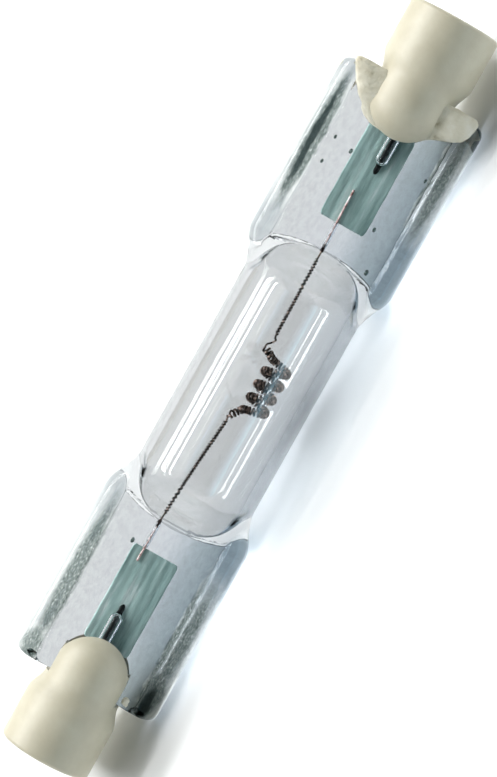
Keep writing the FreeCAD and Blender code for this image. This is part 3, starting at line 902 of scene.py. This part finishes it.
def make_filament():
    """One wire: straight legs, and between them a fine coil laid in four larger turns."""
    turns = np.linspace(0, COIL_TURNS, 24 * COIL_TURNS + 1)
    angle = 2 * math.pi * turns
    core = np.stack((
        COIL_START + COIL_PITCH * turns,
        COIL_RADIUS * np.cos(angle) - COIL_DROP,
        COIL_RADIUS * np.sin(angle)), axis=1)
    fall = smooth_line((*FALL, core[0]), 0.1)
    rise = smooth_line((core[-1], *RISE), 0.1)
    strand = spiral(np.vstack((fall[:-1], core, rise[1:])), STRAND, STRAND_PITCH, 16)[2:-2]
    left = smooth_line((*LEFT_LEG, *LEFT_JOIN, strand[0]), 0.12)[:-1]
    right = smooth_line((strand[-1], *RIGHT_JOIN, *RIGHT_LEG), 0.12)
    line = np.vstack((left, strand[:-1], right))
    beads = np.where(np.abs(line[:, 0]) > BEADS_START, BEADS * np.sin(line[:, 0] * 9) ** 2, 0)
    coiled = np.concatenate((
        np.zeros(len(left)), np.full(len(strand) - 1, STRAND_THICKER), np.zeros(len(right))))
    points, faces = wire(line, WIRE + beads + coiled, 10)
    sealed = [abs(points[face[0]][0]) > HOLLOW_END for face in faces]
    new_piece(
        "filament_wire", (points, faces), [tungsten_material(), sealed_wire_material()],
        ["filament"], sealed)


WINDING_WIRE = 0.062
WINDING_RADIUS = WIRE + 0.06
WINDING_OPEN_END = 13.5
WINDING_CLOSE = (14.15, 15.2)


def make_leg_spirals():
    """A fine wire wound round each leg to stiffen it, and closer at the end of the hollow."""
    material = winding_material()
    for side, _ in SIDES:
        line = smooth_line(LEGS[side], 0.1)
        away = np.abs(line[:, 0])
        near = min(abs(corner[0]) for corner in node_span(f"leg_spiral_{side}"))
        parts = []
        for start, end, gap in ((near, WINDING_OPEN_END, 0.31), (*WINDING_CLOSE, 0.15)):
            wound = spiral(line[(away > start) & (away < end)], WINDING_RADIUS, gap, 12)
            parts.append(wire(wound, WINDING_WIRE, 7))
        new_piece(
            f"leg_winding_{side}", joined(parts), [material], [f"leg_spiral_{side}"])


FOIL_HALF_THICK = 0.012
FOIL_SEEDS = {"left": 1.3, "right": 4.1}


def make_foils():
    """Wrinkled molybdenum foils, with lengthwise creases, feathered long edges and worn
    corners."""
    material = foil_material()
    for side, _ in SIDES:
        low, high = node_span(f"foil_{side}")
        half = (high[1] - low[1]) / 2
        x, v = np.meshgrid(np.linspace(low[0], high[0], 90), np.linspace(-1, 1, 41), indexing="ij")
        seed = FOIL_SEEDS[side]
        crease = (0.016 * np.sin(9.1 * v + seed + 0.12 * x)
                  + 0.011 * np.sin(21 * v - 0.2 * x + 2 * seed)
                  + 0.006 * np.sin(1.9 * x + 5 * v + seed)) - 0.005
        near_end = np.minimum(x - low[0], high[0] - x)
        worn = 0.16 * np.clip(1 - near_end / 0.5, 0, 1) ** 2
        y = v * (half - 0.02 - 0.03 * np.abs(np.sin(1.1 * x + seed)) - worn)
        thin = FOIL_HALF_THICK * (1 - 0.6 * np.abs(v) ** 3)
        front = np.stack((x, y, crease + thin), axis=2)
        back = np.stack((x, y, crease - thin), axis=2)
        rings = np.concatenate((front, back[:, ::-1]), axis=1)
        new_piece(
            f"foil_sheet_{side}", lofted(rings[:, ::-1]), [material], [f"foil_{side}"])


LEAD_FLAT = (0.26, 0.13)
LEAD_FLAT_Z = 0.17
LEAD_NOSE = 0.35
LEAD_ROUNDS_UP = (0.75, 1.45)


def make_leads():
    """Round molybdenum rods, pressed flat at the end that is welded to the foil."""
    material = lead_material()
    turn = full_turn(24)
    for side, sign in SIDES:
        low, high, y, z = lead_line(side)
        inner = low if sign > 0 else high
        rings = []
        for step in (*np.linspace(0, 1.6, 28), *np.linspace(1.9, high - low, 40)):
            full = smooth_step(*LEAD_ROUNDS_UP, step)
            nose = math.sqrt(min(1.0, (step + 0.02) / LEAD_NOSE))
            wide, tall = ((flat + (LEAD_RADIUS - flat) * full) * nose for flat in LEAD_FLAT)
            centre = LEAD_FLAT_Z + (z - LEAD_FLAT_Z) * full
            rings.append(ring_at(
                inner + sign * step, y + wide * np.cos(turn) * sign,
                centre + tall * np.sin(turn)))
        new_piece(f"lead_rod_{side}", lofted(rings), [material], [f"outer_lead_{side}"])


# Ceramic caps, contacts and cement

HARD_EDGE = 28
CAP_RADIUS = 4.5
CAP_NECK = 3.85
CAP_START = 26.3
CAP_DOME = 3.94
CAP_WIDENS = (31.9, 34.1)
CAP_RIM_OUTSIDE = 0.42
CAP_RIM_INSIDE = 0.12
SLOT_HALF = 1.65
SLOT_START = 25.0
SLOT_SPARE = 0.25
RECESS = 2.6
RECESS_SEAT = 37.45
CONTACT_RADIUS = 2.4
CONTACT_SEAT = 36.5
LEAD_BORE = 1.1
LEAD_BORE_START = 31.5


def arc(centre_x, centre_r, radius, start, end, count):
    """Points of a round stretch of a half section; angles in degrees."""
    angles = [math.radians(start + (end - start) * i / count) for i in range(count + 1)]
    return [(centre_x + radius * math.cos(angle), centre_r + radius * math.sin(angle))
            for angle in angles]


def cap_section(end):
    """Half section of a cap along +X, from the dome's apex round to the bottom of the recess."""
    section = arc(CAP_START + CAP_DOME, 0, CAP_DOME, 180, 106, 26)
    section += [(29.35, 3.83), (29.5, CAP_NECK), (31.2, CAP_NECK)]
    section += [(x, CAP_NECK + (CAP_RADIUS - CAP_NECK) * smooth_step(*CAP_WIDENS, x))
                for x in np.linspace(*CAP_WIDENS, 15)]
    section += [(35.5, CAP_RADIUS), (37.5, CAP_RADIUS)]
    section += arc(
        end - CAP_RIM_OUTSIDE, CAP_RADIUS - CAP_RIM_OUTSIDE, CAP_RIM_OUTSIDE, 90, 0, 10)
    section += arc(end - CAP_RIM_INSIDE, RECESS + CAP_RIM_INSIDE, CAP_RIM_INSIDE, 360, 270, 6)
    section += [(37.9, RECESS), (RECESS_SEAT, RECESS), (RECESS_SEAT, CONTACT_RADIUS)]
    section += [(CONTACT_SEAT, CONTACT_RADIUS), (CONTACT_SEAT, LEAD_BORE)]
    return section + [(LEAD_BORE_START, LEAD_BORE)]


def turned(section, count):
    """Points and faces of a half section turned round the lamp's axis."""
    turn = full_turn(count)
    return lofted([ring_at(x, r * np.cos(turn), r * np.sin(turn)) for x, r in section if r > 1e-6])


def cut_away(piece, points, faces):
    """Takes a shape given in the lamp's axes out of a piece, which gets hard edges where its
    faces meet at more than HARD_EDGE degrees."""
    tool = new_object("tool", lamp_mesh("tool", points, faces))
    modifier = piece.modifiers.new("cut", "BOOLEAN")
    modifier.operation, modifier.solver, modifier.object = "DIFFERENCE", "EXACT", tool
    bpy.context.view_layer.update()
    shape = bpy.data.meshes.new_from_object(
        piece.evaluated_get(bpy.context.evaluated_depsgraph_get()))
    piece.modifiers.clear()
    piece.data = shape
    shade_smooth(shape)
    shape.set_sharp_from_angle(angle=math.radians(HARD_EDGE))
    bpy.data.objects.remove(tool)


def box(low, high):
    """Corners and faces of a box."""
    corners = [(x, y, z) for x in (low[0], high[0]) for y in (low[1], high[1])
               for z in (low[2], high[2])]
    return corners, [
        (0, 1, 3, 2), (4, 6, 7, 5), (0, 4, 5, 1), (2, 3, 7, 6), (0, 2, 6, 4), (1, 5, 7, 3)]


def make_caps():
    """Turned ceramic caps with a slot for the seal."""
    material = ceramic_material()
    for side, sign in SIDES:
        corners = node_span(f"ceramic_cap_{side}")
        points, faces = turned(cap_section(max(abs(corner[0]) for corner in corners)), 128)
        if sign < 0:
            faces = flipped(faces)
        cap = new_piece(
            f"cap_{side}", (points * (sign, 1, 1), faces), [material],
            [f"ceramic_cap_{side}"])
        start, end = sorted((sign * SLOT_START, sign * (SEAL_END + SLOT_SPARE)))
        cut_away(cap, *box((start, -5, -SLOT_HALF), (end, 5, SLOT_HALF)))


def carry_over(node, material):
    """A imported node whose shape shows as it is, with its own material."""
    for slot in frame["nodes"][node].material_slots:
        slot.material = material


CEMENT_EDGE = (
    # x, then how far the cement was spread to either side of the seal there
    (26.75, 0.6, 0.4), (26.95, 2.5, -1.4), (27.35, 3.5, -2.3), (27.8, 4.1, -3.0),
    (28.5, 4.5, -4.0), (28.9, 4.7, -4.8), (29.2, 4.85, -5.6), (29.5, 5.1, -6.1),
    (30.0, 5.5, -6.45), (30.7, 5.95, -6.6), (31.4, 6.35, -6.65), (31.75, 6.4, -6.6),
    (31.95, 6.2, -6.4),
)
CEMENT_SPREADS = (28.2, 29.6)
CEMENT_TALL = 1.62
CEMENT_TALLER = 0.78
CRUMB = (-30.85, -4.15, 1.55)
CRUMB_HALVES = (0.42, 0.34, 0.42)
LUMPS_PER_MM = 1.1
GRAINS_PER_MM = 4.3
GRAIN_SHARE = 0.35


def roughened(ring, size):
    """A ring's points, moved by lumps and grains of the cement."""
    lumps = np.array([noise.noise_vector(point * LUMPS_PER_MM) for point in ring])
    grains = np.array([noise.noise_vector(point * GRAINS_PER_MM) for point in ring])
    return ring + size * lumps + GRAIN_SHARE * size * grains


def seal_section():
    """A plain copy of the right seal, of even section and a little longer."""
    ring = outside_ring(24.0)[0] * (0, 1, 1)
    return lofted([ring + (x, 0, 0) for x in (26.0, SEAL_END + 0.5)])


def make_cement_right(material):
    """Cement squeezed out round the dome and spread over both corners of the right seal."""
    edge = np.array(CEMENT_EDGE)
    first, last = edge[0, 0], edge[-1, 0]
    turn = full_turn(200)
    rings = []
    for x in (*np.linspace(first, 27.4, 12), *np.linspace(27.5, last, 46)):
        upper, lower = np.interp(x, edge[:, 0], edge[:, 1]), np.interp(x, edge[:, 0], edge[:, 2])
        middle, half = (upper + lower) / 2, (upper - lower) / 2
        spread = smooth_step(*CEMENT_SPREADS, x)
        tall = CEMENT_TALL + CEMENT_TALLER * spread
        tall -= 0.25 * smooth_step(31.5, last, x) + 0.1 * (1 - smooth_step(first, 27.0, x))
        power = 2 / (5 + 3 * spread)
        y = middle + half * np.sign(np.cos(turn)) * np.abs(np.cos(turn)) ** power
        z = tall * np.sign(np.sin(turn)) * np.abs(np.sin(turn)) ** power
        rings.append(roughened(ring_at(x, y, z), 0.04 + 0.03 * spread))
    piece = new_piece(
        "cement_mass_right", lofted(rings), [material], ["cement_right"])
    cut_away(piece, *seal_section())


def make_crumb(material):
    """A crumb of cement beside the left cap's neck."""
    rings = [roughened(ring, 0.3) for ring in ellipsoid(CRUMB, CRUMB_HALVES, 14, 24)]
    new_piece("cement_crumb", lofted(rings), [material])


make_quartz()
make_filament()
make_leg_spirals()
make_foils()
make_leads()
make_caps()
contact = contact_material()
for side, _ in SIDES:
    carry_over(f"contact_{side}", contact)
cement = cement_material()
carry_over("cement_left", cement)
make_cement_right(cement)
make_crumb(cement)


# Studio: pale floor, soft lights, and the camera where the photograph was taken from

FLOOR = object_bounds()[0][2]
FLOOR_HALF = 4.0


def make_floor():
    """The pale floor that the lamp lies on."""
    corners = [(x * FLOOR_HALF, y * FLOOR_HALF, FLOOR) for x, y in (
        (-1, -1), (1, -1), (1, 1), (-1, 1))]
    mesh = bpy.data.meshes.new("floor")
    mesh.from_pydata(corners, [], [(0, 1, 2, 3)])
    material = Material("floor")
    mesh.materials.append(material.principled({
        "Roughness": 0.9, "Specular IOR Level": 0.1,
        "Base Color": material.ramp(material.noise(40, 3.0), [
            (0.3, (0.855, 0.87, 0.88)), (0.7, (0.875, 0.89, 0.9))])}))
    new_object("floor", mesh)


STRIP_DISTANCE = 0.6
STRIP_LENGTH = 0.9


def strip_light(name, elevation, width, power):
    """A long light along the lamp, at an elevation in degrees over the +Y side."""
    light = bpy.data.lights.new(name, "AREA")
    light.shape = "RECTANGLE"
    light.size, light.size_y = STRIP_LENGTH, width
    light.energy = power
    lift = math.radians(elevation)
    back = Vector((0, math.cos(lift), math.sin(lift)))
    up = back.cross(ALONG)
    turn = Matrix((up.cross(back), up, back)).transposed().to_4x4()
    new_object(name, light).matrix_world = Matrix.Translation(back * STRIP_DISTANCE) @ turn


def make_tent():
    """Surroundings that are dark in front of the lamp, pale above it and plain at its ends."""
    tent = bpy.data.worlds.new("tent")
    tent.use_nodes = True
    graph = Graph(tent.node_tree)
    way = graph.add("TexCoord", {}, "Generated")
    round_the_lamp = graph.ramp(graph.across(way, -0.7, 1.0), [
        (0.03, (0.45, 0.72, 0.85)), (0.09, (0.2, 0.32, 0.38)), (0.17, (0.01, 0.01, 0.009)),
        (0.66, (0.01, 0.01, 0.008)), (0.78, (0.28, 0.28, 0.268)), (0.88, (0.35, 0.35, 0.335)),
        (1.0, (0.35, 0.35, 0.335)),
    ])
    end = graph.spread(graph.away(way), 0.72, 0.97, kind="SMOOTHSTEP")
    background = graph.tree.nodes["Background"]
    graph.link(graph.mixed(end, round_the_lamp, (0.1, 0.11, 0.11, 1)), background.inputs["Color"])
    background.inputs["Strength"].default_value = 3.0
    bpy.context.scene.world = tent


# The photograph's frame: pixels per millimetre, height in pixels, the lamp's direction to the
# right and up, and how far right and up of the frame's middle the lamp's middle is, in pixels
PHOTO_SCALE = 10.79
PHOTO_HEIGHT = 777
PHOTO_TURN = (0.4887, 0.8724)
LAMP_OFF_CENTRE = (0.3, -1.5)
CAMERA_DISTANCE = 0.340
CAMERA_TOWARDS_RIGHT = math.radians(3.3)


def make_camera():
    """Square to the seals' front face, a little towards the right end, at the photo's scale."""
    cosine, sine = math.cos(CAMERA_TOWARDS_RIGHT), math.sin(CAMERA_TOWARDS_RIGHT)
    back = FRONT * cosine + ALONG * sine
    along = ALONG * cosine - FRONT * sine
    low, high = PHOTO_TURN
    right = along * low - ACROSS * high
    up = along * high + ACROSS * low
    aim = -(right * LAMP_OFF_CENTRE[0] + up * LAMP_OFF_CENTRE[1]) / PHOTO_SCALE * MM
    data = bpy.data.cameras.new("photo_camera")
    data.sensor_fit = "VERTICAL"
    data.lens = data.sensor_height * CAMERA_DISTANCE / (PHOTO_HEIGHT / PHOTO_SCALE * MM)
    camera = new_object("photo_camera", data)
    turn = Matrix((right, up, back)).transposed().to_4x4()
    camera.matrix_world = Matrix.Translation(aim + back * CAMERA_DISTANCE) @ turn
    bpy.context.scene.camera = camera


make_floor()
strip_light("strip_behind", 57, 0.09, 3.4)
strip_light("strip_above", 76, 0.045, 1.7)
make_tent()
make_camera()
bpy.context.scene.cycles.caustics_reflective = False
bpy.context.scene.view_settings.view_transform = "Standard"
